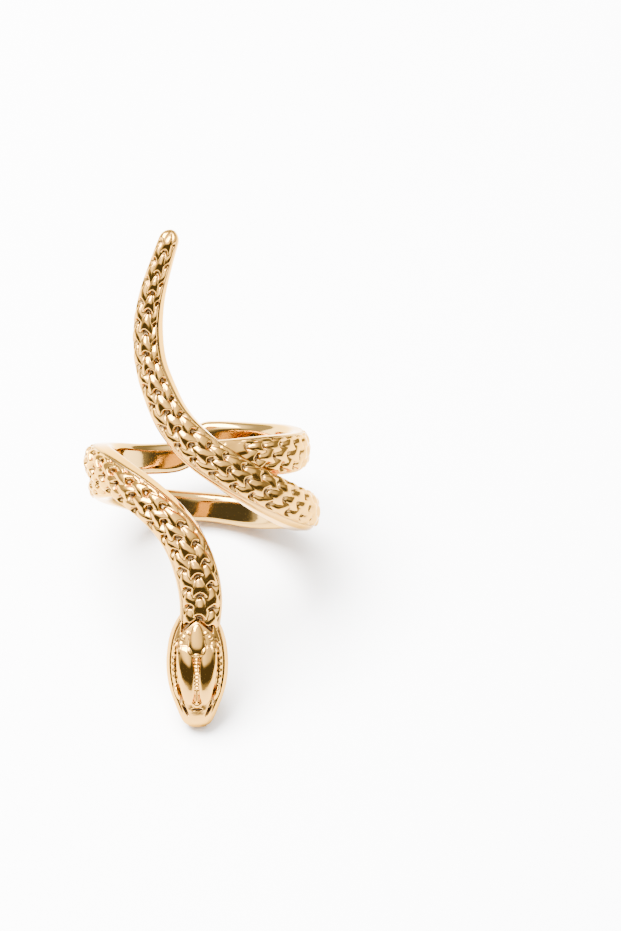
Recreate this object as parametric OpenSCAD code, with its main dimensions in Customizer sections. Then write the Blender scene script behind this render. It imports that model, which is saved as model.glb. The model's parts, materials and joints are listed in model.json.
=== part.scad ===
// Snake wrap ring: one solid casting of a snake that lies twice round a finger.
// It is drawn as it is worn: the finger along Z, the front towards -Y and the tail up.
// At the end it leans back onto its snout and its lower turn, as it rests on a table.

/* [Finger] */
// Inside diameter of the ring
finger_d = 17.3; // [16.5:0.1:18.2]

/* [Body] */
// Greatest width of the body
body_w = 4; // [3.8:0.05:4.2]
// Greatest thickness of the body over the finger
body_t = 3.2; // [2.9:0.05:3.4]
// Radius that softens both inner edges of the body
comfort_r = 0.7; // [0.5:0.05:0.75]

/* [Scales] */
// Length of a scale along the back
scale_l = 2.08; // [1.9:0.02:2.3]
// How far the free edge of a scale stands proud
scale_rise = 0.25; // [0.15:0.01:0.3]

/* [Head] */
// Width of the head across the jaws
head_w = 6.2; // [5.8:0.1:6.6]
// Thickness of the head over the finger
head_t = 3.3; // [3:0.1:3.6]
// Height of the two long plates on top of the head
plate_rise = 0.3; // [0.15:0.05:0.4]

/* [Rest] */
// How far the finger's axis leans back when the ring stands on a table
rest_tilt = 42.9; // [42:0.1:44]

/* [Hidden] */

// Columns of the two tables of the body's course
ANGLE = 0;
HEIGHT = 1;
WIDTH = 2;
THICK = 3;
SCALED = 4;

// The tail's arm, from the tip round the front, the right, the back and the left.
// Angle round the finger from the front, height along it, width and thickness as shares
// of the body's own, and how much of the scales' height stands there.
tail_arm = [
    [-17.6, 26.8, 0.49, 0.54, 0.5],
    [-23.2, 23.5, 0.57, 0.61, 0.8],
    [-29.4, 20.0, 0.66, 0.68, 1],
    [-31.7, 16.8, 0.73, 0.74, 1],
    [-29.9, 13.6, 0.77, 0.79, 1],
    [-24.1, 10.8, 0.83, 0.84, 1],
    [-15.4,  7.9, 0.89, 0.88, 1],
    [ -1.6,  5.2, 0.95, 0.92, 1],
    [ 14.0,  3.1, 0.98, 0.95, 1],
    [ 30.0,  1.35, 1.02, 0.97, 1],
    [ 46.0, -0.1, 1.05, 0.98, 1],
    [ 64.0, -1.35, 1.04, 0.97, 1],
    [ 90.0, -2.4, 0.96, 0.95, 1],
    [118.0, -3.1, 0.81, 0.90, 1],
    [146.0, -3.6, 0.76, 0.85, 1],
    [174.0, -3.15, 0.70, 0.82, 1],
    [202.0, -3.0, 0.80, 0.80, 1],
    [232.0, -1.4, 0.68, 0.78, 1],
    [262.0, -0.1, 0.70, 0.74, 0.8],
    [288.0,  0.7, 0.66, 0.70, 0.5],
    [306.0,  1.0, 0.60, 0.66, 0]
];

// The head's arm, from its end under the tail's arm round the right, the back, the left
// and down the front to the neck
head_arm = [
    [  7.0,  4.35, 0.76, 0.48, 0],
    [ 19.0,  4.2, 0.88, 0.54, 0],
    [ 28.0,  4.15, 0.94, 0.60, 1],
    [ 42.0,  4.1, 0.98, 0.63, 1],
    [ 62.0,  3.95, 0.98, 0.64, 1],
    [ 90.0,  3.8, 0.94, 0.64, 1],
    [120.0,  4.0, 0.82, 0.70, 1],
    [148.0,  3.9, 0.76, 0.76, 1],
    [168.0,  3.8, 0.75, 0.79, 1],
    [180.0,  3.1, 0.75, 0.80, 1],
    [191.0,  2.1, 0.75, 0.82, 1],
    [202.0,  1.75, 0.75, 0.83, 1],
    [218.0,  1.85, 0.76, 0.84, 1],
    [242.0,  2.3, 0.80, 0.85, 1],
    [270.0,  2.65, 0.85, 0.86, 1],
    [292.0,  2.4, 0.88, 0.88, 1],
    [312.0,  1.35, 0.91, 0.91, 1],
    [328.0, -0.05, 0.93, 0.93, 1],
    [342.0, -2.0, 0.96, 0.94, 1],
    [351.7, -4.3, 1.03, 0.95, 1],
    [357.6, -7.0, 1.06, 0.96, 1],
    [360.2, -9.8, 1.05, 0.96, 1],
    [359.4, -12.6, 1.00, 0.86, 0.6]
];

// Outline of the head from above: height along the finger, width as a share of head_w and
// thickness as a share of head_t
head_plan = [
    [-10.9, 0.54, 0.66],
    [-11.8, 0.70, 0.86],
    [-12.7, 0.84, 0.94],
    [-13.7, 0.93, 0.98],
    [-14.8, 0.98, 1.00],
    [-16.0, 1.00, 1.00],
    [-17.3, 0.98, 0.97],
    [-18.5, 0.92, 0.92],
    [-19.6, 0.81, 0.86],
    [-20.6, 0.69, 0.79],
    [-21.2, 0.61, 0.73],
    [-21.7, 0.53, 0.65],
    [-22.1, 0.44, 0.55],
    [-22.45, 0.30, 0.42]
];
// Place of the head's centre line round the finger
head_angle = -1.8;

// Radius of the finger hole, and of the middle of the body's wall
bore_r = finger_d / 2;
mid_r = bore_r + body_t / 2;
// Depth of material inside the finger hole, which the bore takes away
bore_spare = 0.12;
// Length of the cut for the finger, and the turn of its seam about the finger
bore_h = 60;
bore_seam = -102;
// Steps between two rows of a table when its curve is measured
fine = 10;
// Rings of points on each scale
rings_per_scale = 4;
// Radius of the rounded tip of the tail
tip_r = 1.1;
// Rings that round the tip
tip_rings = 4;

// Share of the half width and radius over the finger, across the inner side and the flanks
flat_u = 0.42;
flank_t = 0.36;
shoulder_u = 0.97;
shoulder_t = 0.56;
// Points across the scaled back, and the share of the half width that they fill
back_points = 9;
back_u = 0.9;
// Height of the furrows between two columns of scales, as a share of the rise
furrow = -0.2;

// A smooth curve through the rows of a table, at row number t
function between(a, b, c, d, f) =
    b + 0.5 * f * (c - a + f * (2 * a - 5 * b + 4 * c - d + f * (3 * (b - c) + d - a)));
function course(rows, t) =
    let (last = len(rows) - 1, i = min(floor(t), last - 1))
    between(rows[max(i - 1, 0)], rows[i], rows[i + 1], rows[min(i + 2, last)], t - i);

// The same curve laid out flat, and its running length: pairs of length and row number
function laid_flat(row) = [row[ANGLE] * PI / 180 * mid_r, row[HEIGHT]];
function run_of(rows) =
    let (n = (len(rows) - 1) * fine,
         spots = [for (i = [0:n]) laid_flat(course(rows, i / fine))])
    [for (i = 0, s = 0; i <= n; i = i + 1, s = s + (i <= n ? norm(spots[i] - spots[i - 1]) : 0))
        [s, i / fine]];
function end_of(run) = run[len(run) - 1][0];

// Direction of the course on the flat, as a unit vector
function heading(rows, run, s) =
    let (a = laid_flat(course(rows, lookup(s - 0.1, run))),
         b = laid_flat(course(rows, lookup(s + 0.1, run))))
    (b - a) / norm(b - a);

// A point on the finger's side
function on_finger(angle, height, r) = [r * sin(angle), -r * cos(angle), height];

// How much of its height a scale has reached at length s in column c of the back.
// Every second column starts half a scale later.
function scale_height(s, c) =
    let (phase = s / scale_l + (c % 4 == 0 ? 0 : 0.5), share = phase - floor(phase))
    c % 2 == 0 ? share * rings_per_scale / (rings_per_scale - 1) : furrow;

// One ring of points across the body: [share of the half width, radius over the finger]
function across(thick, lift, s) = concat(
    [[flat_u, -bore_spare], [0.5 * (1 + flat_u), comfort_r * 0.2], [1, thick * flank_t]],
    [[shoulder_u, thick * shoulder_t]],
    [for (k = [back_points - 1:-1:0])
        let (u = back_u * (2 * k / (back_points - 1) - 1))
        [u, thick * (shoulder_t + (1 - shoulder_t) * sqrt(1 - u * u)) + lift * scale_height(s, k)]],
    [[-shoulder_u, thick * shoulder_t]],
    [[-1, thick * flank_t], [-0.5 * (1 + flat_u), comfort_r * 0.2], [-flat_u, -bore_spare]]
);

// Share of the full section that a rounded end leaves at length s
function rounded(s, r) = s >= r ? 1 : sqrt(max(0, 1 - (1 - s / r) * (1 - s / r)));

function body_ring(rows, run, s, round_r) =
    let (row = course(rows, lookup(s, run)),
         way = heading(rows, run, s),
         full = rounded(s, round_r),
         half_w = row[WIDTH] * body_w / 2 * full,
         thick = row[THICK] * body_t * (0.4 + 0.6 * full))
    [for (p = across(thick, scale_rise * row[SCALED] * full, s))
        on_finger(row[ANGLE] - p[0] * half_w * way[1] / mid_r * 180 / PI,
                  row[HEIGHT] + p[0] * half_w * way[0],
                  bore_r + p[1])];

// Stations along an arm: closer together where its start is rounded
function stations(run, round_r) =
    let (step = scale_l / rings_per_scale, n = floor((end_of(run) - round_r) / step))
    concat(round_r > 0 ? [for (k = [1:tip_rings]) round_r * (1 - cos(90 * k / (tip_rings + 1)))] : [],
           [for (k = [0:n]) round_r + k * step]);

// Faces of a solid made of rings of points, closed by a fan at each end. Neighbouring fields are
// split along opposite diagonals, so the two sides of a scale mirror each other.
function skin(rings) =
    let (n = len(rings[0]), m = len(rings), first = n * m, last = n * m + 1)
    concat(
        [for (i = [0:m - 2], j = [0:n - 1]) each
            let (a = i * n + j, b = i * n + (j + 1) % n, c = a + n, d = b + n)
            j % 2 == 0 ? [[a, c, d], [a, d, b]] : [[a, c, b], [b, c, d]]],
        [for (j = [0:n - 1]) [first, j, (j + 1) % n]],
        [for (j = [0:n - 1]) [last, (m - 1) * n + (j + 1) % n, (m - 1) * n + j]]
    );
function sum(v, i = 0) = i < len(v) - 1 ? v[i] + sum(v, i + 1) : v[i];
function centre(ring) = sum(ring) / len(ring);
function all_points(rings) =
    concat([for (r = rings) each r], [centre(rings[0]), centre(rings[len(rings) - 1])]);

module loft(rings) {
    polyhedron(points = all_points(rings), faces = skin(rings), convexity = 10);
}

tail_run = run_of(tail_arm);
head_run = run_of(head_arm);
tail_rings = [for (s = stations(tail_run, tip_r)) body_ring(tail_arm, tail_run, s, tip_r)];
neck_rings = [for (s = stations(head_run, 0)) body_ring(head_arm, head_run, s, 0)];

// Height of a low boss with an oval foot: x and y are measured from its middle
function boss(x, y, half_x, half_y) = sqrt(max(0, 1 - pow(x / half_x, 2) - pow(y / half_y, 2)));
// Height of a ridge along a line: d is the distance from the line
function ridge(d, half) = max(0, 1 - abs(d) / half);

// Relief on top of the head: x across from the centre line, y along the finger
function head_relief(x, y, half_w) =
    let (in = half_w - abs(x))
    plate_rise * boss(abs(x) - 1.12, y + 17.3, 0.85, 3.2)
    + 0.22 * boss(x, y + 13.4, 0.8, 1.5)
    + 0.16 * ridge(x, 0.25) * (y < -15 && y > -20 ? 1 : 0)
    + 0.14 * boss(x, y + 20.8, 0.7, 0.75)
    + 0.2 * boss(abs(x) - 1.95, y + 18.75, 0.4, 0.8)
    - 0.22 * boss(abs(x) - 1.1, y + 20.6, 0.3, 0.6)
    - 0.2 * ridge(in - 0.65, 0.3)
    + 0.06 * ridge(in - 0.95, 0.3);

// Rings of the head: stations along the finger, each with points across
head_step = 0.34;
head_points = 19;
lip_t = 0.5;
// Share of the head's half width that lies flat against the finger
chin_u = 0.8;
function head_row(y) =
    [for (c = [1:2]) lookup(y, [for (row = head_plan) [row[0], row[c]]])];
function head_ring(y) =
    let (row = head_row(y),
         half_w = row[0] * head_w / 2,
         thick = row[1] * head_t,
         edge = lip_t * thick)
    [for (p = concat(
            [[chin_u, -bore_spare], [0.5 * (1 + chin_u), comfort_r * 0.2], [1, thick * flank_t]],
            [for (k = [head_points - 1:-1:0])
                let (u = 0.96 * (2 * k / (head_points - 1) - 1), x = u * half_w)
                [u, edge + (thick - edge) * pow(max(0, 1 - pow(abs(u), 2.4)), 0.75)
                    + head_relief(x, y, half_w)]],
            [[-1, thick * flank_t], [-0.5 * (1 + chin_u), comfort_r * 0.2], [-chin_u, -bore_spare]]))
        on_finger(head_angle + p[0] * half_w / mid_r * 180 / PI, y, bore_r + p[1])];
head_top = head_plan[0][0];
head_end = head_plan[len(head_plan) - 1][0];
head_stations = let (n = ceil((head_top - head_end) / head_step))
    [for (k = [0:n]) head_top - (head_top - head_end) * k / n];
head_rings = [for (y = head_stations) head_ring(y)];

// The ring as it stands: leaned back about X, lowest point on the floor, middle over the origin.
// Points inside the finger hole count as lying on its wall.
function on_metal(p) =
    let (out = max(1, bore_r / norm([p[0], p[1]])))
    [p[0] * out, p[1] * out, p[2]];
function leaned(p) =
    [p[0], p[1] * cos(rest_tilt) + p[2] * sin(rest_tilt), p[2] * cos(rest_tilt) - p[1] * sin(rest_tilt)];
resting = [for (rings = [tail_rings, neck_rings, head_rings], ring = rings, p = ring) leaned(on_metal(p))];
function low(axis) = min([for (p = resting) p[axis]]);
function high(axis) = max([for (p = resting) p[axis]]);
rest_shift = [-(low(0) + high(0)) / 2, -(low(1) + high(1)) / 2, -low(2)];

module snake_ring() {
    color("gold")
    translate(rest_shift)
    rotate([-rest_tilt, 0, 0])
    difference() {
        union() {
            loft(tail_rings);
            loft(neck_rings);
            loft(head_rings);
        }
        rotate([0, 0, bore_seam])
        cylinder(h = bore_h, r = bore_r, center = true, $fn = 180);
    }
}

snake_ring();
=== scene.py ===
"""Snake wrap ring: the cast snake with its scales and head in full relief, lit on a pale table.

Sizes are in millimetres and heights run along the finger, as on the ring when it is worn. The
Stand class leans them back into the frame, where everything is in metres.
"""

import json
import logging
from dataclasses import dataclass, field
from enum import Enum
from typing import Iterable

import bpy
import numpy as np
from mathutils import Matrix, Vector


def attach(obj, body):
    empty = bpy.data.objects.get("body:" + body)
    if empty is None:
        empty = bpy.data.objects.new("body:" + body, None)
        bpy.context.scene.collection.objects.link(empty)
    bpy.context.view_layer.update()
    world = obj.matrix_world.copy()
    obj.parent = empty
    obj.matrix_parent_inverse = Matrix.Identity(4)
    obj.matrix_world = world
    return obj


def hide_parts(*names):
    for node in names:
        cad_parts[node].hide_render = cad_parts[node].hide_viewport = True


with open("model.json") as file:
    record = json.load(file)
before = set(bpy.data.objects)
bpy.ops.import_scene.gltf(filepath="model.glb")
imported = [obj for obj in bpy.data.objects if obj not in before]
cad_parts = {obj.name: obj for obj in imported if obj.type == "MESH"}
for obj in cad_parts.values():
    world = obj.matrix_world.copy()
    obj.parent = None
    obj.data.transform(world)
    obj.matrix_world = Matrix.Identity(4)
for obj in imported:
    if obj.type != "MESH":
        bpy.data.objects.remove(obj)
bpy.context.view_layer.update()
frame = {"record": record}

log = logging.getLogger("snake_ring")

MM = 0.001
NODE = "snake_ring"

# Columns of the tables of the body's course
ANGLE, HEIGHT, WIDTH, THICK, SCALED = range(5)


def smooth_step(low: float, high: float, value: np.ndarray) -> np.ndarray:
    """Cubic step from 0 at low to 1 at high: t * t * (3 - 2 t), t being the share of the way.

    Args:
        low: Value where the step starts.
        high: Value where it ends; it may be below low, and the step then falls.
        value: Where the step is wanted.

    Returns:
        The step's height at each value.
    """
    share = np.clip((value - low) / (high - low), 0.0, 1.0)
    return share * share * (3.0 - 2.0 * share)


def dome(value: np.ndarray) -> np.ndarray:
    """Square root of the value, and 0 where it is negative."""
    return np.sqrt(np.clip(value, 0.0, None))


@dataclass(frozen=True)
class Finger:
    """The finger hole: its radius, and the thickness of the wall, which is unrolled at its middle."""

    bore_r: float = 17.3 / 2
    wall_t: float = 3.2

    @property
    def mid_r(self) -> float:
        """Radius of the middle of the wall."""
        return self.bore_r + self.wall_t / 2


@dataclass(frozen=True)
class Stand:
    """How the ring stands on the table, from the finger hole that the frame's record states."""

    hole_mid: float = 2.176

    def place(self, angle: np.ndarray, height: np.ndarray, radius: np.ndarray) -> np.ndarray:
        """Turns places round the finger into points of the frame.

        A point is the hole's middle, plus radius * sin(angle) to the right, plus
        -radius * cos(angle) along the level line that leans back, plus the height along the axis.

        Args:
            angle: Degrees round the finger from the front, positive to the right.
            height: Millimetres along the finger.
            radius: Millimetres from the finger's axis.

        Returns:
            Points in metres, with one more dimension than the arguments.
        """
        hole = frame["record"]["mounts"][0]
        axis = np.array(hole["axis"])
        right = np.array([1.0, 0.0, 0.0])
        back = np.cross(axis, right)
        turn = np.radians(angle)
        along = (height - self.hole_mid) * MM
        across = radius * MM
        return (np.array(hole["pos_m"])
                + (across * np.sin(turn))[..., None] * right
                - (across * np.cos(turn))[..., None] * back
                + along[..., None] * axis)


class Mark(Enum):
    """The shares that a skin's points carry for the material, as attributes of the mesh: relief sets the
    painted shade of the hollows.
    """

    # Painted shade: 1 on the crests, lower in the hollows, where the gold is darkened
    PAINTED_SHADE = "relief"
    INSIDE = "inside"


@dataclass(frozen=True)
class Skin:
    """A closed skin through rings of points, which all run the same way round."""

    name: str

    def build(self, rings: np.ndarray, marks: dict[Mark, np.ndarray]) -> bpy.types.Object:
        """Makes the mesh: quads between neighbouring rings and a fan to one point at each end.

        Point j of ring i has the number i * n + j; the quad (i, j) joins it to (i, j + 1),
        (i + 1, j + 1) and (i + 1, j), with j taken round the ring, so that it faces outwards.

        Args:
            rings: Points in metres, of shape (rings, points of a ring, 3).
            marks: Shares at each point: for the painted shade, 1 on the crests; for the finger's side, 1
                there.

        Returns:
            The object, at the origin.
        """
        count, size, _ = rings.shape
        row = np.arange(count - 1)[:, None] * size
        here = np.arange(size)[None, :]
        after = (here + 1) % size
        quads = np.stack([row + here, row + after, row + size + after, row + size + here], axis=-1)
        quads = quads.reshape(-1, 4)
        first, last = count * size, count * size + 1
        ring = np.arange(size)
        step = (ring + 1) % size
        top = (count - 1) * size
        fans = np.concatenate([
            np.stack([np.full(size, first), step, ring], axis=-1),
            np.stack([np.full(size, last), top + ring, top + step], axis=-1),
        ])
        points = np.concatenate([rings.reshape(-1, 3), rings[[0, -1]].mean(axis=1)])
        mesh = bpy.data.meshes.new(self.name)
        mesh.vertices.add(len(points))
        mesh.vertices.foreach_set("co", points.astype(np.float32).ravel())
        loops = np.concatenate([quads.ravel(), fans.ravel()])
        totals = np.concatenate([np.full(len(quads), 4), np.full(len(fans), 3)])
        mesh.loops.add(len(loops))
        mesh.loops.foreach_set("vertex_index", loops.astype(np.int32))
        mesh.polygons.add(len(totals))
        mesh.polygons.foreach_set("loop_start", (np.cumsum(totals) - totals).astype(np.int32))
        mesh.polygons.foreach_set("use_smooth", np.ones(len(totals), dtype=bool))
        mesh.update(calc_edges=True)
        mesh.validate()
        for mark, shares in marks.items():
            values = np.concatenate([shares.reshape(-1), [shares[0].mean(), shares[-1].mean()]])
            layer = mesh.attributes.new(mark.value, "FLOAT", "POINT")
            layer.data.foreach_set("value", values.astype(np.float32))
        piece = bpy.data.objects.new(self.name, mesh)
        bpy.context.collection.objects.link(piece)
        return piece


@dataclass(frozen=True)
class Course:
    """A smooth way round the finger through the rows of a short table."""

    rows: tuple[tuple[float, ...], ...]
    finger: Finger = Finger()
    # Short steps between two rows, and the reach in millimetres over which the direction is taken
    fine: int = 40
    reach: float = 0.05

    def at(self, place: np.ndarray) -> np.ndarray:
        """Catmull-Rom curve through the rows: a cubic in the share of the way between two rows,
        which passes through both and leaves each one parallel to the line between its neighbours.

        Args:
            place: Row numbers, with fractions.

        Returns:
            The table's columns at each place, of shape (places, columns).
        """
        table = np.array(self.rows)
        last = len(table) - 1
        i = np.clip(np.floor(place).astype(int), 0, last - 1)
        f = (place - i)[:, None]
        a, b = table[np.maximum(i - 1, 0)], table[i]
        c, d = table[i + 1], table[np.minimum(i + 2, last)]
        return b + 0.5 * f * (c - a + f * (2 * a - 5 * b + 4 * c - d + f * (3 * (b - c) + d - a)))

    def flat(self, columns: np.ndarray) -> np.ndarray:
        """The way unrolled: millimetres round the middle of the wall, and along the finger."""
        turned = np.radians(columns[:, ANGLE]) * self.finger.mid_r
        return np.stack([turned, columns[:, HEIGHT]], axis=-1)

    def lengths(self) -> tuple[np.ndarray, np.ndarray]:
        """Running length at closely spaced row numbers.

        Returns:
            The lengths in millimetres, and the row numbers.
        """
        places = np.linspace(0.0, len(self.rows) - 1, (len(self.rows) - 1) * self.fine + 1)
        steps = np.linalg.norm(np.diff(self.flat(self.at(places)), axis=0), axis=1)
        return np.concatenate([[0.0], np.cumsum(steps)]), places

    def stations(self, lengths: np.ndarray) -> tuple[np.ndarray, np.ndarray]:
        """Columns of the table and the unrolled direction at given lengths.

        Args:
            lengths: Millimetres from the start of the way.

        Returns:
            The columns, and unit vectors (round, along).
        """
        run, places = self.lengths()
        here = self.at(np.interp(lengths, run, places))
        before = self.flat(self.at(np.interp(lengths - self.reach, run, places)))
        after = self.flat(self.at(np.interp(lengths + self.reach, run, places)))
        way = after - before
        return here, way / np.linalg.norm(way, axis=1, keepdims=True)


@dataclass(frozen=True)
class Scales:
    """The scales on the back: hoods in staggered columns, whose arched free edges face the head.

    The next hood of a column starts as a low nose under the arch, and grows wider and higher up
    to its own free edge. Between the arch and the nose a narrow pit stays open. The pitch, the
    column, the rise and how far the hoods are sunk into the back are millimetres; the rest are
    shares of the pitch, the column or the rise.
    """

    pitch: float = 2.05
    column: float = 1.16
    rise: float = 0.58
    sunk: float = 0.38
    arch: float = 0.70
    apex: float = 0.28
    nose: float = 0.50
    nose_at: tuple[float, float] = (0.14, 0.27)
    climb: tuple[float, float] = (0.14, 0.66)
    widths: tuple[float, float] = (0.78, 0.28)
    fullness: float = 0.7
    brow: float = 0.62
    droop: float = 0.09
    fall: float = 0.07
    # How far the hoods stray, and how fast that turns with the length and with the column
    stray: float = 0.055
    stray_along: tuple[float, float] = (1.9, 2.3)
    stray_across: tuple[float, float] = (1.3, -1.1)

    def hood(self, run: np.ndarray, side: np.ndarray) -> np.ndarray:
        """Height of one column's hoods, as a share of the rise.

        With x the share of a pitch since the last free edge, which is the pointed arch
        run = n + arch * (sqrt(side^2 + apex^2) - apex), the nose steps up at nose_at, the hood
        climbs to the brow, droops past it with the square of the distance and falls off at the
        free edge. Across it is (1 - (side / w)^2)^fullness with w = widths[0] + widths[1] * x.

        Args:
            run: Length along the body in pitches.
            side: Distance from the column's middle in columns, from -1 to 1.

        Returns:
            Shares from 0 to 1, and 0 in the pits.
        """
        raw = run - self.arch * (np.hypot(side, self.apex) - self.apex)
        x = raw - np.floor(raw)
        along = self.nose * smooth_step(*self.nose_at, x)
        along = along + (1.0 - self.nose) * smooth_step(*self.climb, x)
        past = np.clip(x - self.brow, 0.0, None) / (1.0 - self.brow)
        along = along * (1.0 - self.droop * past ** 2)
        width = self.widths[0] + self.widths[1] * x
        across = np.clip(1.0 - (side / width) ** 2, 0.0, None) ** self.fullness
        return along * across * smooth_step(1.0, 1.0 - self.fall, x)

    def strayed(self, turns: tuple[float, float], run: np.ndarray, across: np.ndarray) -> np.ndarray:
        """Stray of a hood, stray * sin(turns[0] * run + turns[1] * across)."""
        return self.stray * np.sin(turns[0] * run + turns[1] * across)

    def height(self, run: np.ndarray, across: np.ndarray) -> np.ndarray:
        """The higher of the two families of hoods, the second half a pitch and a column on.

        Args:
            run: Length along the body in pitches.
            across: Distance from the middle of the back in columns.

        Returns:
            Shares from 0 to 1.
        """
        run = run + self.strayed(self.stray_along, run, across)
        across = across + self.strayed(self.stray_across, run, across)
        even, odd = (side - 2.0 * np.round(side / 2.0) for side in (across, across - 1.0))
        return np.maximum(self.hood(run, even), self.hood(run + 0.5, odd))


@dataclass(frozen=True)
class Section:
    """Outline across the body: flat on the finger, soft inner edges, upright flanks, round back."""

    comfort_r: float = 0.7
    flank: float = 0.36
    shoulder: float = 0.56
    back_deg: float = 80.0
    back_points: int = 72
    flank_points: int = 5
    corner_points: int = 8
    flat_points: int = 4

    def outline(self, half_w: np.ndarray,
                thick: np.ndarray) -> tuple[np.ndarray, np.ndarray, np.ndarray]:
        """Places across the section, one row for each station, over the back and round the finger.

        The back is (half_w * sin(a), thick * (shoulder + (1 - shoulder) * cos(a))), the corner a
        quarter of a circle of the comfort radius, and the rest straight lines.

        Args:
            half_w: Half width at each station, as a column.
            thick: Thickness at each station, as a column.

        Returns:
            Distance across, height over the finger, and the angle a of the back's points, which
            come first, in radians.
        """
        turn = np.radians(np.linspace(self.back_deg, -self.back_deg, self.back_points))[None, :]
        across = half_w * np.sin(turn)
        over = thick * (self.shoulder + (1 - self.shoulder) * np.cos(turn))
        corner_r = np.minimum(self.comfort_r, self.flank * thick)
        low = np.linspace(0.0, 1.0, self.flank_points, endpoint=False)[1:][None, :]
        flank_x = half_w + (across[:, :1] - half_w) * (1 - low)
        flank_y = over[:, :1] + (corner_r - over[:, :1]) * low
        bend = np.radians(np.linspace(0.0, 90.0, self.corner_points))[None, :]
        corner_x = half_w - corner_r * (1 - np.cos(bend))
        corner_y = corner_r * (1 - np.sin(bend))
        flat = np.linspace(1.0, -1.0, self.flat_points + 2)[1:-1][None, :]
        flat_x = (half_w - corner_r) * flat
        down_x = np.concatenate([flank_x, corner_x], axis=1)
        down_y = np.concatenate([flank_y, corner_y], axis=1)
        xs = np.concatenate([across, -down_x, -flat_x, down_x[:, ::-1]], axis=1)
        ys = np.concatenate([over, down_y, np.zeros_like(flat_x), down_y[:, ::-1]], axis=1)
        return xs, ys, turn

    def inside(self, over: np.ndarray) -> np.ndarray:
        """Share of the finger's side: 1 near the bore and 0 past the comfort radius."""
        return smooth_step(self.comfort_r, 0.5 * self.comfort_r, over)


@dataclass(frozen=True)
class Chevron:
    """The pointed edge where the body's last scales end over the head's shield."""

    angle: float = -1.8
    point: float = -11.75
    slope: float = 0.92
    # The point's rounding: what is added to the square of x, and what is taken off its root
    blunt: tuple[float, float] = (0.03, 0.17)
    gap: float = 0.12
    depth: float = 0.34
    reach: float = 1.6
    # Lengths of the soft steps before the edge and at its two ends
    soft: tuple[float, float] = (0.10, 0.3)

    def edge(self, x: np.ndarray) -> np.ndarray:
        """Height of the edge, point - slope * (sqrt(x^2 + blunt[0]) - blunt[1])."""
        return self.point - self.slope * (np.sqrt(x ** 2 + self.blunt[0]) - self.blunt[1])

    def drop(self, angle: np.ndarray, height: np.ndarray, mid_r: float) -> np.ndarray:
        """How far the body steps down before the edge, so that a narrow gap shows along it.

        Args:
            angle: Degrees round the finger.
            height: Millimetres along the finger.
            mid_r: Radius of the middle of the wall.

        Returns:
            Millimetres.
        """
        turn = angle - self.angle
        x = np.radians(turn - 360.0 * np.round(turn / 360.0)) * mid_r
        beyond = smooth_step(self.gap + self.soft[0], self.gap, height - self.edge(x))
        return self.depth * beyond * smooth_step(self.reach, self.reach - self.soft[1], np.abs(x))


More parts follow.
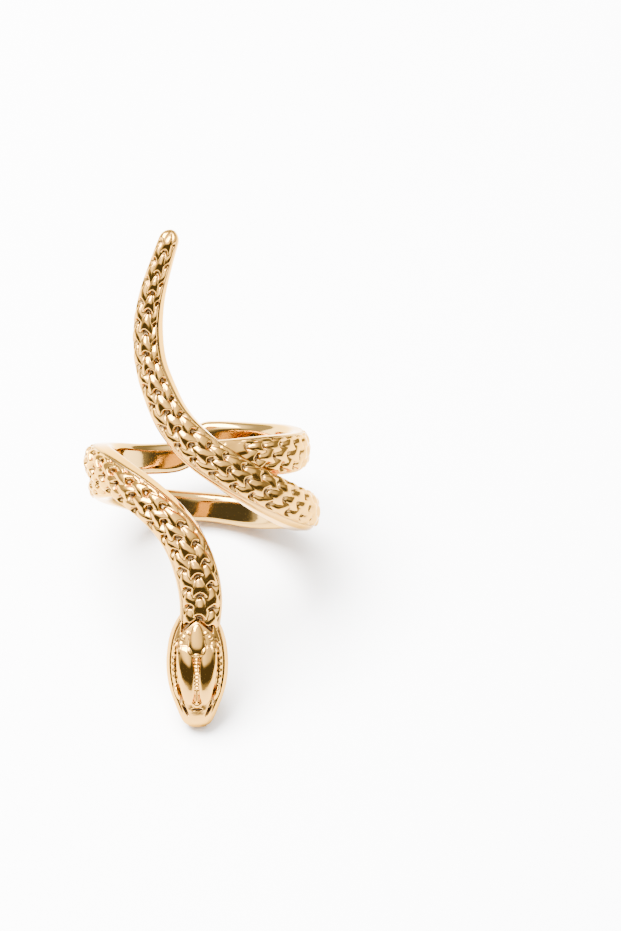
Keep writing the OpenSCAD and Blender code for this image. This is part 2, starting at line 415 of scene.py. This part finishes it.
@dataclass(frozen=True)
class Arm:
    """One arm of the body: a scaled tube along a course."""

    name: str
    course: Course
    body_w: float = 4.0
    body_t: float = 3.2
    step: float = 0.09
    cut: Chevron | None = None
    # A rounded tip: its radius, the share of the thickness where it closes, and its stations as
    # the first and last angle on that circle and their number
    round_r: float = 0.0
    core: float = 0.42
    tip: tuple[float, float, int] = (8.0, 82.0, 10)
    # The tail is rolled a little: how far the columns slide toward one side at its tip, the
    # lengths between which that ends, and how far the scaled part of the back lies to that side
    slide: float = 0.0
    slide_end: tuple[float, float] = (26.0, 7.8)
    offset: float = 0.0
    # Share of the back's half width that is scaled before the neck and at its end, the lengths
    # between which it changes, and the share over which the scales fade
    scaled_share: tuple[float, float] = (0.86, 0.86)
    neck: tuple[float, float] = (58.0, 70.0)
    fade: float = 0.10
    # Half width, as a share of the back's, and depth of the line beside the scales
    rim_w: float = 0.03
    rim_depth: float = 0.07
    # The columns narrow with the body: their width for each share of its width, and the least
    narrow: tuple[float, float] = (1.25, 0.72)
    scales: Scales = Scales()
    section: Section = Section()

    def lengths(self) -> tuple[np.ndarray, np.ndarray]:
        """Lengths of the rings along the course, and the share of the outline at each.

        Toward a rounded tip the lengths are round_r * (1 - cos(a)), and the share is
        sqrt(1 - (1 - length / round_r)^2), as on a circle.

        Returns:
            Millimetres from the start, and shares from 0 to 1.
        """
        run, _ = self.course.lengths()
        lengths = np.arange(0.0, run[-1], self.step)
        if not self.round_r:
            return lengths, np.ones_like(lengths)
        turn = np.radians(np.linspace(*self.tip))
        rest = lengths[lengths > self.round_r]
        lengths = np.concatenate([self.round_r * (1 - np.cos(turn)), rest])
        return lengths, dome(1 - np.clip(1 - lengths / self.round_r, 0, 1) ** 2)

    def cover(self, lengths: np.ndarray, widths: np.ndarray, scaled: np.ndarray, half_w: np.ndarray,
              turn: np.ndarray) -> tuple[np.ndarray, np.ndarray]:
        """Relief of the back: scaled * ((rise * height - sunk) * fade - rim_depth * rim).

        The rim is exp(-(d / rim_w)^2), d being the distance past the scaled share of the back.

        Args:
            lengths: Millimetres along the course.
            widths: The body's width as a share, at each length.
            scaled: How much of the scales shows at each length, as a column.
            half_w: Half width at each length, as a column.
            turn: The back's angles in radians, as a row.

        Returns:
            Lift in millimetres, and the mark that sets the painted shade: 1 on the crests, where there
            is none, and lower in the hollows and along the line beside the scales.
        """
        start, end = self.scaled_share
        share = (start + (end - start) * smooth_step(*self.neck, lengths))[:, None]
        outer = np.abs(np.sin(turn) - self.offset) - share
        fade = smooth_step(0.0, -self.fade, outer)
        rim = np.exp(-(outer / self.rim_w) ** 2)
        column = self.scales.column * np.clip(self.narrow[0] * widths, self.narrow[1], 1.0)[:, None]
        slide = self.slide * smooth_step(*self.slide_end, lengths)[:, None]
        run = lengths[:, None] / self.scales.pitch
        height = self.scales.height(run, half_w * (turn - slide) / column)
        lift = (self.scales.rise * height - self.scales.sunk) * fade - self.rim_depth * rim
        # The second value is painted shade: it darkens the gold in the hollows between the hoods and in
        # the line beside them
        return scaled * lift, 1 - scaled * fade * (1 - height) - scaled * rim

    def build(self, stand: Stand) -> bpy.types.Object:
        """Lofts the arm. Across the back the scales push the outline out along its own normal.

        Toward a rounded tip the outline shrinks to a point at the share core of the thickness.

        Args:
            stand: How the ring stands.

        Returns:
            The piece.
        """
        lengths, full = self.lengths()
        columns, way = self.course.stations(lengths)
        half_w = (columns[:, WIDTH] * self.body_w / 2 * full)[:, None]
        thick = (columns[:, THICK] * self.body_t)[:, None]
        across, over, turn = self.section.outline(half_w, thick)
        over = self.core * thick + (over - self.core * thick) * full[:, None]
        back = slice(0, turn.shape[1])
        scaled = (columns[:, SCALED] * full)[:, None]
        lift, shade = self.cover(lengths, columns[:, WIDTH], scaled, half_w, turn)
        normal_x = np.sin(turn) / half_w
        normal_y = np.cos(turn) / (thick * (1 - self.section.shoulder))
        size = np.hypot(normal_x, normal_y)
        across[:, back] += lift * normal_x / size
        over[:, back] += lift * normal_y / size
        finger = self.course.finger
        angle = columns[:, ANGLE, None] - np.degrees(across * way[:, 1:2] / finger.mid_r)
        along = columns[:, HEIGHT, None] + across * way[:, 0:1]
        if self.cut:
            over[:, back] -= self.cut.drop(angle, along, finger.mid_r)[:, back]
        # Painted shade of the back's hollows; the rest of the outline gets none
        relief = np.ones_like(across)
        relief[:, back] = shade
        points = stand.place(angle, along, finger.bore_r + over)
        marks = {Mark.PAINTED_SHADE: relief, Mark.INSIDE: self.section.inside(over)}
        return Skin(self.name).build(points, marks)


TAIL_ARM = Course(rows=(
    (-16.9, 26.6, 0.50, 0.54, 0.6),
    (-23.2, 23.5, 0.57, 0.61, 0.8),
    (-29.4, 20.0, 0.66, 0.68, 1),
    (-31.7, 16.8, 0.73, 0.74, 1),
    (-29.9, 13.6, 0.77, 0.79, 1),
    (-24.1, 10.8, 0.83, 0.84, 1),
    (-15.4, 7.9, 0.89, 0.88, 1),
    (-1.6, 5.2, 0.95, 0.92, 1),
    (14.0, 3.1, 0.98, 0.95, 1),
    (30.0, 1.35, 1.02, 0.97, 1),
    (46.0, -0.1, 1.05, 0.98, 1),
    (64.0, -1.35, 1.04, 0.97, 1),
    (90.0, -2.4, 0.96, 0.95, 1),
    (118.0, -3.1, 0.81, 0.89, 1),
    (146.0, -3.57, 0.76, 0.83, 1),
    (174.0, -3.23, 0.71, 0.785, 1),
    (202.0, -2.80, 0.75, 0.77, 1),
    (232.0, -1.45, 0.69, 0.77, 1),
    (262.0, -0.1, 0.70, 0.74, 0.8),
    (288.0, 0.7, 0.66, 0.70, 0.5),
    (306.0, 1.0, 0.60, 0.66, 0),
))

HEAD_ARM = Course(rows=(
    (7.0, 4.35, 0.76, 0.48, 0),
    (19.0, 4.2, 0.88, 0.54, 0),
    (28.0, 4.15, 0.94, 0.60, 1),
    (42.0, 4.1, 0.98, 0.63, 1),
    (62.0, 3.95, 0.98, 0.64, 1),
    (90.0, 3.8, 0.94, 0.64, 1),
    (120.0, 4.0, 0.82, 0.70, 1),
    (148.0, 3.9, 0.76, 0.76, 1),
    (170.0, 3.90, 0.75, 0.78, 1),
    (177.0, 3.75, 0.75, 0.785, 1),
    (184.0, 2.95, 0.75, 0.80, 1),
    (191.0, 2.10, 0.75, 0.815, 1),
    (200.0, 1.75, 0.75, 0.83, 1),
    (218.0, 1.85, 0.76, 0.84, 1),
    (242.0, 2.3, 0.80, 0.85, 1),
    (270.0, 2.65, 0.85, 0.86, 1),
    (292.0, 2.4, 0.88, 0.88, 1),
    (312.0, 1.35, 0.91, 0.91, 1),
    (328.0, -0.05, 0.93, 0.93, 1),
    (342.0, -2.0, 0.96, 0.94, 1),
    (351.7, -4.3, 1.03, 0.95, 1),
    (357.6, -7.0, 1.06, 0.95, 1),
    (360.2, -9.8, 1.05, 0.91, 1),
    (359.4, -12.6, 1.00, 0.78, 1),
    (358.6, -14.4, 0.90, 0.62, 0),
))


@dataclass(frozen=True)
class Boss:
    """A raised or sunk pillow on the head, whose foot is a rounded oblong that may lean."""

    x: float
    height: float
    half_x: float
    half_h: float
    rise: float
    lean: float = 0.0
    corner: float = 2.4
    side: float = 2.4
    taper: float = 0.0
    mirrored: bool = False

    def span(self, x: np.ndarray, height: np.ndarray) -> np.ndarray:
        """How far out a place lies: |across|^side + |along|^corner, which is 1 at the foot's edge.

        Args:
            x: Distance from the head's centre line.
            height: Height along the finger.

        Returns:
            Shares, 0 in the middle.
        """
        side = np.abs(x) if self.mirrored else x
        along = (height - self.height) / self.half_h
        half = self.half_x * (1 + self.taper * along)
        across = (side - self.x - self.lean * (height - self.height)) / half
        return np.abs(across) ** self.side + np.abs(along) ** self.corner

    def value(self, x: np.ndarray, height: np.ndarray) -> np.ndarray:
        """Height of the pillow in millimetres, rise * sqrt(1 - span), and 0 outside its foot."""
        return self.rise * dome(1 - self.span(x, height))


@dataclass(frozen=True)
class Groove:
    """A fine line, at a distance from the head's edge or, round the eye, at a span of the eye."""

    at: float
    half_w: float
    depth: float

    def value(self, distance: np.ndarray) -> np.ndarray:
        """Depth of the line, depth * exp(-((distance - at) / half_w)^2)."""
        return self.depth * np.exp(-((distance - self.at) / self.half_w) ** 2)


@dataclass(frozen=True)
class Beads:
    """A row of beads along the head, with the heights where it starts and where it ends."""

    pitch: float
    rise: float
    start: tuple[float, float]
    end: tuple[float, float]

    def share(self, height: np.ndarray) -> np.ndarray:
        """1 along the row and 0 past its ends, as the product of a step at each."""
        return smooth_step(*self.end, height) * smooth_step(*self.start, height)

    def wave(self, height: np.ndarray) -> np.ndarray:
        """Rise and fall from bead to bead, 0.5 + 0.5 * cos(2 pi height / pitch)."""
        return 0.5 + 0.5 * np.cos(2 * np.pi * height / self.pitch)


@dataclass(frozen=True)
class Head:
    """The arrow shaped head: a lip rim, plates, a beaded ridge, eyes and nostrils."""

    name: str = "head"
    back: Chevron = Chevron()
    width: float = 6.2
    thick: float = 3.3
    lip: float = 0.5
    points: int = 150
    step: float = 0.05
    # The crown's rounding across, its widest angle and the share of the half width it reaches
    crown: tuple[float, float] = (2.4, 0.75)
    sweep_deg: float = 78.0
    reach: float = 0.97
    # The rim's soft width, and the rounding toward the finger with its share of the lip
    rim_soft: float = 0.25
    corner_r: float = 0.3
    corner_share: float = 0.6
    corner_points: int = 7
    flat_points: int = 4
    # The grooves inside the lip and inside its row of scales, where the second starts, where
    # both end at the snout, and the spans of the eye between which they stop
    lip_groove: Groove = Groove(at=0.66, half_w=0.07, depth=0.17)
    row_groove: Groove = Groove(at=1.16, half_w=0.06, depth=0.14)
    row_start: tuple[float, float] = (-13.2, -13.8)
    grooves_end: tuple[float, float] = (-21.2, -20.2)
    grooves_clear: tuple[float, float] = (0.9, 1.3)
    # The row of lip scales and the distances from the edge where it rises and falls
    lip_scales: Beads = Beads(pitch=0.62, rise=0.10, start=(-13.4, -13.9), end=(-18.9, -18.5))
    row_outer: tuple[float, float] = (0.68, 0.78)
    row_inner: tuple[float, float] = (1.14, 1.04)
    # The ridge, its half width, how deep its beads are cut and where they end
    ridge: Beads = Beads(pitch=0.36, rise=0.26, start=(-15.2, -15.5), end=(-20.0, -19.8))
    ridge_half_w: float = 0.17
    ridge_cut: float = 0.55
    beads_end: tuple[float, float] = (-18.6, -18.4)
    # The shield's edge toward the body: its soft width, the distances where it ends at the
    # sides, how far it is sunk, and how far the head lies lower before it
    seam: float = 0.05
    shield_side: tuple[float, float] = (1.3, 1.5)
    sunk: float = 0.06
    below: float = 0.5
    # Relief at which the painted shade of the top is darkest, and where it ends on the crests
    shade: tuple[float, float] = (-0.25, 0.06)
    # Height along the finger, width as a share, thickness as a share
    plan: tuple[tuple[float, float, float], ...] = (
        (-10.9, 0.54, 0.60),
        (-11.8, 0.70, 0.78),
        (-12.7, 0.84, 0.86),
        (-13.7, 0.93, 0.93),
        (-14.8, 0.98, 0.98),
        (-16.0, 1.00, 1.00),
        (-17.3, 0.98, 0.965),
        (-18.5, 0.92, 0.89),
        (-19.6, 0.81, 0.81),
        (-20.6, 0.69, 0.735),
        (-21.2, 0.61, 0.68),
        (-21.7, 0.53, 0.615),
        (-22.1, 0.44, 0.52),
        (-22.42, 0.30, 0.38),
    )
    bosses: tuple[Boss, ...] = (
        Boss(x=0.92, height=-17.1, half_x=0.80, half_h=2.95, rise=0.52, lean=0.07, corner=2.15,
             side=3.0, taper=0.14, mirrored=True),
        Boss(x=0.0, height=-13.6, half_x=0.72, half_h=1.6, rise=0.30, taper=-0.35),
        Boss(x=0.0, height=-15.15, half_x=0.34, half_h=0.25, rise=0.12),
        Boss(x=0.0, height=-20.10, half_x=0.40, half_h=0.32, rise=0.34, taper=0.3),
        Boss(x=0.0, height=-20.56, half_x=0.55, half_h=0.13, rise=-0.26),
        Boss(x=1.72, height=-14.5, half_x=0.40, half_h=0.75, rise=0.16, lean=-0.3, mirrored=True),
        Boss(x=1.10, height=-20.65, half_x=0.15, half_h=0.62, rise=-0.30, lean=0.50, mirrored=True),
        Boss(x=0.84, height=-12.95, half_x=0.20, half_h=0.20, rise=0.12, corner=2.0, side=2.0,
             mirrored=True),
        Boss(x=1.22, height=-13.35, half_x=0.20, half_h=0.20, rise=0.12, corner=2.0, side=2.0,
             mirrored=True),
    )
    eye: Boss = Boss(x=1.84, height=-18.85, half_x=0.27, half_h=0.80, rise=0.30, lean=0.26,
                     corner=2.0, side=2.0, mirrored=True)
    lid: Groove = Groove(at=1.45, half_w=0.35, depth=0.15)

    def outline(self, height: np.ndarray) -> tuple[np.ndarray, np.ndarray]:
        """Half width and thickness at each height, by a smooth curve through the plan's rows."""
        table = np.array(self.plan)[::-1]
        place = np.interp(height, table[:, 0], np.arange(len(table)))
        rows = Course(rows=tuple(map(tuple, table))).at(place)
        return rows[:, 1] * self.width / 2, rows[:, 2] * self.thick

    def relief(self, x: np.ndarray, height: np.ndarray, half_w: np.ndarray) -> np.ndarray:
        """Sum of the plates, the eyes, the lip scales and the ridge, less the grooves and the lids.

        Before the shield's edge, which the body's last scales overhang, the head lies lower.

        Args:
            x: Distance from the centre line.
            height: Height along the finger.
            half_w: Half width of the head there.

        Returns:
            Millimetres over the plain head.
        """
        inset = half_w - np.abs(x)
        eye = self.eye.span(x, height)
        total = sum(boss.value(x, height) for boss in self.bosses) + self.eye.value(x, height)
        lines = self.lip_groove.value(inset)
        lines = lines + self.row_groove.value(inset) * smooth_step(*self.row_start, height)
        lines = lines * smooth_step(*self.grooves_end, height)
        lines = lines * smooth_step(*self.grooves_clear, eye)
        total = total - np.maximum(lines, self.lid.value(eye))
        scales = self.lip_scales
        row = smooth_step(*self.row_outer, inset) * smooth_step(*self.row_inner, inset)
        total = total + scales.rise * row * scales.wave(height) * scales.share(height)
        cut = self.ridge_cut * smooth_step(*self.beads_end, height)
        beads = 1 - (1 - self.ridge.wave(height)) * cut
        ridge = dome(1 - (x / self.ridge_half_w) ** 2) * self.ridge.share(height)
        total = total + self.ridge.rise * ridge * beads
        shield = np.maximum(smooth_step(self.seam, -self.seam, height - self.back.edge(x)),
                            smooth_step(*self.shield_side, np.abs(x)))
        return (total - self.sunk) * shield - self.below * (1 - shield)

    def build(self, stand: Stand, finger: Finger) -> bpy.types.Object:
        """Lofts the head along the finger from the back of the skull to the snout.

        Across, the top is lip + (1 - lip) * (1 - |u|^crown[0])^crown[1] of the thickness, u being
        the share of the half width, and the underside lies on the finger with rounded corners.

        Args:
            stand: How the ring stands.
            finger: The finger hole.

        Returns:
            The piece.
        """
        top, end = self.plan[0][0], self.plan[-1][0]
        height = np.linspace(top, end, int((top - end) / self.step))
        half_w, thick = (values[:, None] for values in self.outline(height))
        sweep = np.radians(np.linspace(self.sweep_deg, -self.sweep_deg, self.points))[None, :]
        u = np.sin(sweep) / np.sin(sweep[0, 0]) * self.reach
        x = u * half_w
        relief = self.relief(x, np.broadcast_to(height[:, None], x.shape), half_w)
        edge = self.lip * thick
        crown = np.clip(1 - np.abs(u) ** self.crown[0], 0, None) ** self.crown[1]
        rim = smooth_step(0.0, self.rim_soft, half_w - np.abs(x))
        over = np.maximum(edge + (thick - edge) * crown + relief * rim, self.corner_r)
        bend = np.radians(np.linspace(0.0, 90.0, self.corner_points))[None, :]
        side_x = half_w - self.corner_r * (1 - np.cos(bend))
        side_y = np.minimum(self.corner_r, edge * self.corner_share) * (1 - np.sin(bend))
        flat = np.linspace(-1.0, 1.0, self.flat_points + 2)[1:-1][None, :]
        flat_x = (half_w - self.corner_r) * flat
        xs = np.concatenate([x, -side_x, flat_x, side_x[:, ::-1]], axis=1)
        ys = np.concatenate([over, side_y, np.zeros_like(flat_x), side_y[:, ::-1]], axis=1)
        angle = self.back.angle + np.degrees(xs / finger.mid_r)
        # Painted shade: the top is darkened where its relief is low, in the grooves and lids and before
        # the shield's edge
        shade = np.ones_like(xs)
        shade[:, :self.points] = smooth_step(*self.shade, relief)
        along = np.broadcast_to(height[:, None], xs.shape)
        points = stand.place(angle, along, finger.bore_r + ys)
        return Skin(self.name).build(points, {Mark.PAINTED_SHADE: shade, Mark.INSIDE: Section().inside(ys)})


class Wire:
    """A socket of a node tree that can be used in sums: each operator adds a Math node."""

    def __init__(self, tree: "Nodes", socket: bpy.types.NodeSocket) -> None:
        """Keeps the tree and the socket that gives the value."""
        self.tree = tree
        self.socket = socket

    def _math(self, operation: str, *values: "Wire | float") -> "Wire":
        """Adds a Math node for the operation on the given values."""
        return self.tree.node("ShaderNodeMath", {"operation": operation}, dict(enumerate(values)))

    def __add__(self, other: "Wire | float") -> "Wire":
        """Sum."""
        return self._math("ADD", self, other)

    def __sub__(self, other: "Wire | float") -> "Wire":
        """Difference."""
        return self._math("SUBTRACT", self, other)

    def __rsub__(self, other: float) -> "Wire":
        """Difference from a number."""
        return self._math("SUBTRACT", other, self)

    def __mul__(self, other: "Wire | float") -> "Wire":
        """Product."""
        return self._math("MULTIPLY", self, other)

    __radd__ = __add__
    __rmul__ = __mul__


class Nodes:
    """The node tree of a material or world and the one method that adds nodes to it."""

    def __init__(self, name: str, owners: bpy.types.bpy_prop_collection | None = None) -> None:
        """Starts an empty tree.

        Args:
            name: The name of the material or world.
            owners: Where it is made, which is the file's materials unless stated.
        """
        self.owner = (bpy.data.materials if owners is None else owners).new(name)
        self.owner.use_nodes = True
        self.tree = self.owner.node_tree
        self.tree.nodes.clear()

    def node(self, kind: str, settings: dict | None = None, inputs: dict | None = None,
             output: int | str | None = 0) -> Wire | None:
        """Adds a node.

        Args:
            kind: The node's type.
            settings: Attributes to set first; "stops" is a list of (place, colour) for a ramp.
            inputs: Values or wires by socket name or number.
            output: The output socket that the wire takes, or None for a node without outputs.

        Returns:
            The wire of that output.
        """
        made = self.tree.nodes.new(kind)
        for key, value in (settings or {}).items():
            if key == "stops":
                self._ramp(made.color_ramp, value)
            else:
                setattr(made, key, value)
        for key, value in (inputs or {}).items():
            if isinstance(value, Wire):
                self.tree.links.new(value.socket, made.inputs[key])
            else:
                made.inputs[key].default_value = value
        return None if output is None else Wire(self, made.outputs[output])

    def finish(self, shader: Wire, kind: str = "ShaderNodeOutputMaterial") -> bpy.types.ID:
        """Feeds the surface with the shader.

        Args:
            shader: The shader's wire.
            kind: The output node's type.

        Returns:
            The material or world.
        """
        self.node(kind, inputs={"Surface": shader}, output=None)
        return self.owner

    @staticmethod
    def _ramp(ramp: bpy.types.ColorRamp, stops: Iterable[tuple[float, tuple[float, ...]]]) -> None:
        """Sets the stops of a colour ramp."""
        for place, colour in list(stops)[len(ramp.elements):]:
            ramp.elements.new(place)
        for element, (place, colour) in zip(ramp.elements, stops):
            element.position = place
            element.color = colour


@dataclass(frozen=True)
class Noise:
    """A cloud of noise on a piece's own coordinates."""

    scale: float
    detail: float
    roughness: float = 0.5

    def wire(self, nodes: Nodes, place: Wire) -> Wire:
        """Adds the noise and gives its value."""
        return nodes.node("ShaderNodeTexNoise", {"noise_dimensions": "3D"}, {
            "Vector": place, "Scale": self.scale, "Detail": self.detail,
            "Roughness": self.roughness})


@dataclass(frozen=True)
class Gold:
    """Polished cast gold: its own bright colour on the crests, painted shade that darkens it into the
    pits, rougher in the pits, yellower inside.
    """

    name: str = "gold"
    bright: tuple[float, float, float, float] = (0.46, 0.238, 0.046, 1.0)
    # deep and pit are painted shade, which darkens the gold into the hollows
    deep: tuple[float, float, float, float] = (0.36, 0.205, 0.060, 1.0)
    pit: tuple[float, float, float, float] = (0.15, 0.090, 0.040, 1.0)
    inner: tuple[float, float, float, float] = (0.43, 0.255, 0.068, 1.0)
    edge: tuple[float, float, float, float] = (1.0, 0.78, 0.45, 1.0)
    # Relief at which the pit colour's painted shade, the deep colour's lighter painted shade and the
    # gold's own bright colour stand, and how much it is mottled
    stops: tuple[float, float, float] = (0.04, 0.30, 0.65)
    mottle: float = 0.10
    roughness: float = 0.09
    smear: float = 0.08
    pit_roughness: float = 0.20
    # Unevenness: its two sizes, its strength and height in metres, the share of the clouds, and
    # that of the grain on the crests and what the pits add to it
    cloud: Noise = Noise(900.0, 3.0, 0.6)
    grain: Noise = Noise(5200.0, 2.0)
    bump: float = 0.16
    bump_m: float = 0.00004
    cloud_share: float = 0.8
    grain_share: tuple[float, float] = (0.25, 1.6)

    def make(self) -> bpy.types.Material:
        """Builds the material, with its painted shade, from the marks of the skin and two sizes of
        unevenness.
        """
        nodes = Nodes(self.name)
        place = nodes.node("ShaderNodeTexCoord", output="Object")
        relief, inside = (nodes.node("ShaderNodeAttribute", {"attribute_name": mark.value}, output="Fac")
                          for mark in (Mark.PAINTED_SHADE, Mark.INSIDE))
        cloud, grain = self.cloud.wire(nodes, place), self.grain.wire(nodes, place)
        # Painted shade: the ramp runs from the pit colour in the hollows to the gold's own colour on the
        # crests
        stops = list(zip(self.stops, (self.pit, self.deep, self.bright)))
        outer = nodes.node("ShaderNodeValToRGB", {"stops": stops},
                           {"Fac": relief + (cloud - 0.5) * self.mottle})
        # A Mix node's colours are its inputs 6 and 7 and its output 2
        colour = nodes.node("ShaderNodeMix", {"data_type": "RGBA"},
                            {0: inside, 6: outer, 7: self.inner}, output=2)
        hollow = 1 - relief
        even = cloud * self.smear + (self.roughness - self.smear / 2)
        grain_share = hollow * self.grain_share[1] + self.grain_share[0]
        bump = nodes.node("ShaderNodeBump", inputs={
            "Strength": self.bump, "Distance": self.bump_m,
            "Height": cloud * self.cloud_share + grain * grain_share})
        shader = nodes.node("ShaderNodeBsdfPrincipled", inputs={
            "Base Color": colour, "Metallic": 1.0, "Roughness": hollow * self.pit_roughness + even,
            "Normal": bump, "Specular Tint": self.edge})
        return nodes.finish(shader)


@dataclass(frozen=True)
class Table:
    """The pale table that the ring stands on."""

    name: str = "table"
    half: float = 2.0
    colour: tuple[float, float, float, float] = (0.93, 0.93, 0.935, 1.0)
    roughness: float = 0.45

    def build(self) -> bpy.types.Object:
        """Makes a flat sheet with a matte finish."""
        mesh = bpy.data.meshes.new(self.name)
        signs = np.array([(-1, -1, 0), (1, -1, 0), (1, 1, 0), (-1, 1, 0)])
        mesh.from_pydata((signs * self.half).tolist(), [], [(0, 1, 2, 3)])
        piece = bpy.data.objects.new(self.name, mesh)
        bpy.context.collection.objects.link(piece)
        nodes = Nodes(self.name)
        shader = nodes.node("ShaderNodeBsdfPrincipled", inputs={
            "Base Color": self.colour, "Roughness": self.roughness})
        mesh.materials.append(nodes.finish(shader))
        return piece


@dataclass(frozen=True)
class Softbox:
    """A rectangular studio light that faces the ring."""

    name: str
    place: tuple[float, float, float]
    size: tuple[float, float]
    power: float
    aim: tuple[float, float, float] = (0.0, 0.0, 0.015)
    colour: tuple[float, float, float] = (1.0, 1.0, 1.0)

    def build(self) -> bpy.types.Object:
        """Adds the light."""
        lamp = bpy.data.lights.new(self.name, "AREA")
        lamp.shape = "RECTANGLE"
        lamp.size, lamp.size_y = self.size
        lamp.energy = self.power
        lamp.color = self.colour
        piece = bpy.data.objects.new(self.name, lamp)
        piece.location = self.place
        toward = Vector(self.aim) - Vector(self.place)
        piece.rotation_euler = toward.to_track_quat("-Z", "Y").to_euler()
        bpy.context.collection.objects.link(piece)
        return piece


@dataclass(frozen=True)
class Studio:
    """Lights, world and camera."""

    softboxes: tuple[Softbox, ...] = (
        Softbox("softbox_top", (-0.16, 0.12, 0.48), (0.42, 0.34), 34.0),
    )
    # Strength of the white walls and the ceiling, and the heights between which it changes
    walls: float = 1.25
    ceiling: float = 5.4
    rise: tuple[float, float] = (0.35, 0.85)
    # Strength on the left and on the right as shares, and where across it changes
    sides: tuple[float, float] = (1.25, 0.6)
    across: tuple[float, float] = (-0.5, 0.7)
    # Strength of the dark part, and the steps of the direction that bound it: toward the
    # camera, above the floor and below the top
    dark: float = 0.20
    dark_front: tuple[float, float] = (-0.42, -0.06)
    dark_floor: tuple[float, float] = (0.02, 0.14)
    dark_top: tuple[float, float] = (0.56, 0.74)
    # The picture's frame in pixels, and what one millimetre of the ring covers in it
    picture: tuple[int, int] = (621, 931)
    px_per_mm: float = 10.13
    # The picture's place of the finger hole's zero, in pixels
    zero_px: tuple[float, float] = (200.5, 487.5)
    look_down_deg: float = 7.5
    distance: float = 1.5
    nearest: float = 0.01
    sensor: float = 36.0

    def light(self) -> None:
        """Adds the softboxes and the white walls of the studio, which stay dark behind the camera.

        The dark part runs from the floor to half way up on the camera's side. It is the product
        of three steps along the direction: toward the camera, above the floor and below the top.
        """
        for box in self.softboxes:
            box.build()
        nodes = Nodes("studio", bpy.data.worlds)
        way = nodes.node("ShaderNodeTexCoord", output="Generated")
        x, y, z = (nodes.node("ShaderNodeSeparateXYZ", inputs={"Vector": way}, output=axis)
                   for axis in "XYZ")

        def step(value: Wire, over: tuple[float, float], start: float, end: float) -> Wire:
            """A smooth step from start to end over a stretch of the value."""
            return nodes.node("ShaderNodeMapRange", {"interpolation_type": "SMOOTHSTEP"}, {
                "Value": value, "From Min": over[0], "From Max": over[1],
                "To Min": start, "To Max": end})

        shade = (step(y, self.dark_front, 1.0, 0.0) * step(z, self.dark_floor, 0.0, 1.0)
                 * step(z, self.dark_top, 1.0, 0.0))
        white = step(z, self.rise, self.walls, self.ceiling) * step(x, self.across, *self.sides)
        strength = (1 - shade) * (white - self.dark) + self.dark
        light = nodes.node("ShaderNodeBackground", inputs={
            "Color": (1.0, 1.0, 1.0, 1.0), "Strength": strength})
        bpy.context.scene.world = nodes.finish(light, "ShaderNodeOutputWorld")

    def camera(self, stand: Stand) -> bpy.types.Object:
        """Sets the camera at the photograph's angle and framing.

        The view line lies look_down_deg below the level of the worn ring's front, and the lens
        makes one millimetre px_per_mm wide. The frame is shifted, so the lens looks at the ring.

        Args:
            stand: How the ring stands.

        Returns:
            The camera.
        """
        zero = stand.place(np.array(0.0), np.array(0.0), np.array(0.0))
        axis = Vector(frame["record"]["mounts"][0]["axis"])
        tilt = np.radians(self.look_down_deg)
        right = Vector((1, 0, 0))
        back = axis.cross(right)
        forward = back * np.cos(tilt) - axis * np.sin(tilt)
        up = back * np.sin(tilt) + axis * np.cos(tilt)
        lens = bpy.data.cameras.new("camera")
        lens.sensor_fit = "VERTICAL"
        lens.sensor_height = self.sensor
        tall_mm = self.picture[1] / self.px_per_mm
        lens.lens = self.sensor * self.distance / (tall_mm * MM)
        lens.clip_start = self.nearest
        lens.shift_x = (self.picture[0] / 2 - self.zero_px[0]) / self.picture[1]
        lens.shift_y = (self.zero_px[1] - self.picture[1] / 2) / self.picture[1]
        piece = bpy.data.objects.new("camera", lens)
        turn = Matrix((right, up, -forward)).transposed()
        place = Vector(zero) - forward * self.distance
        piece.matrix_world = Matrix.Translation(place) @ turn.to_4x4()
        bpy.context.collection.objects.link(piece)
        bpy.context.scene.camera = piece
        return piece


@dataclass
class Snake:
    """The whole cast snake."""

    stand: Stand = Stand()
    finger: Finger = Finger()
    gold: Gold = Gold()
    pieces: list[bpy.types.Object] = field(default_factory=list)

    def build(self) -> None:
        """Builds both arms and the head, and dresses them."""
        tail_arm = Arm("tail_arm", TAIL_ARM, round_r=1.1, slide=0.30, offset=0.08)
        head_arm = Arm("head_arm", HEAD_ARM, cut=Chevron(), scaled_share=(0.92, 0.86), offset=0.03)
        self.pieces = [
            tail_arm.build(self.stand),
            head_arm.build(self.stand),
            Head().build(self.stand, self.finger),
        ]
        finish = self.gold.make()
        for piece in self.pieces:
            piece.data.materials.append(finish)
            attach(piece, "root")
            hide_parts(NODE)
            log.info("%s: %d faces", piece.name, len(piece.data.polygons))


def main() -> None:
    """Builds the ring, the table, the lights and the camera."""
    logging.basicConfig(level=logging.INFO, format="%(name)s: %(message)s")
    snake = Snake()
    snake.build()
    Table().build()
    studio = Studio()
    studio.light()
    studio.camera(snake.stand)
    bpy.context.view_layer.update()


if __name__ == "__main__":
    main()
